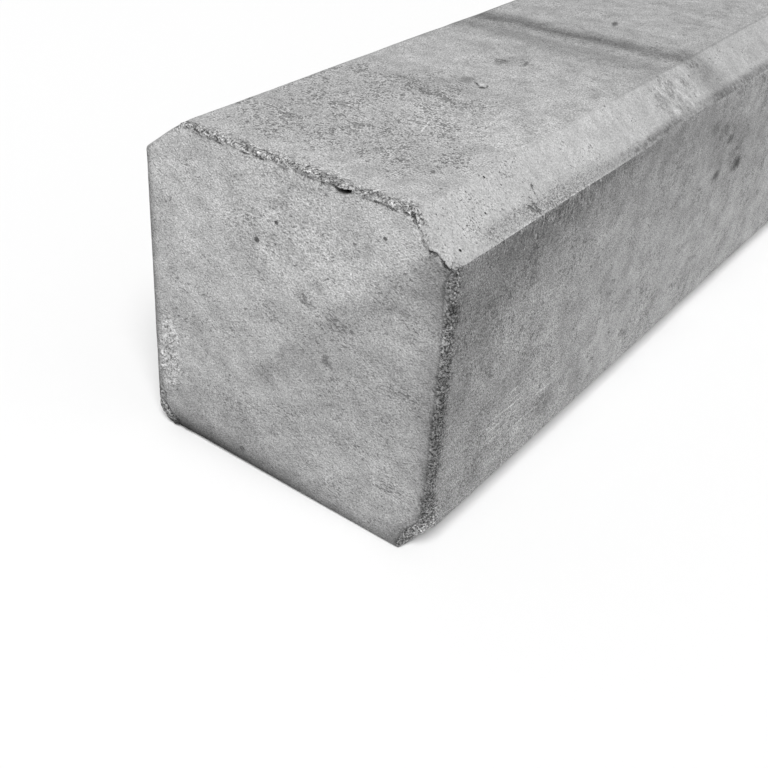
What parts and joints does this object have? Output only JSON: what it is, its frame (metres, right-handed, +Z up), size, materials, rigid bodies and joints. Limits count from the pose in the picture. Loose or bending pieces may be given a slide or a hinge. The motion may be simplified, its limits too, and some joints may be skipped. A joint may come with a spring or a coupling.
{
  "type": "concrete fence post",
  "caption": "Square precast concrete fence post with chamfered edges on its mould face and rough, broken arrises round its flat ends, stored lying on its trowelled face.",
  "frame": {"origin": "middle of the post's length and width, on the trowelled face that it lies on", "axes": "+Y along the post, away from the end that the picture shows; +Z up, out of the mould face; +X to the right of a viewer facing that end"},
  "size_m": [0.1, 1.8, 0.1],
  "materials": {
    "concrete": "cast concrete, matt, with pinholes, stains and rough broken arrises"
  },
  "bodies": {
    "root": {"post": "concrete"}
  },
  "joints": []
}
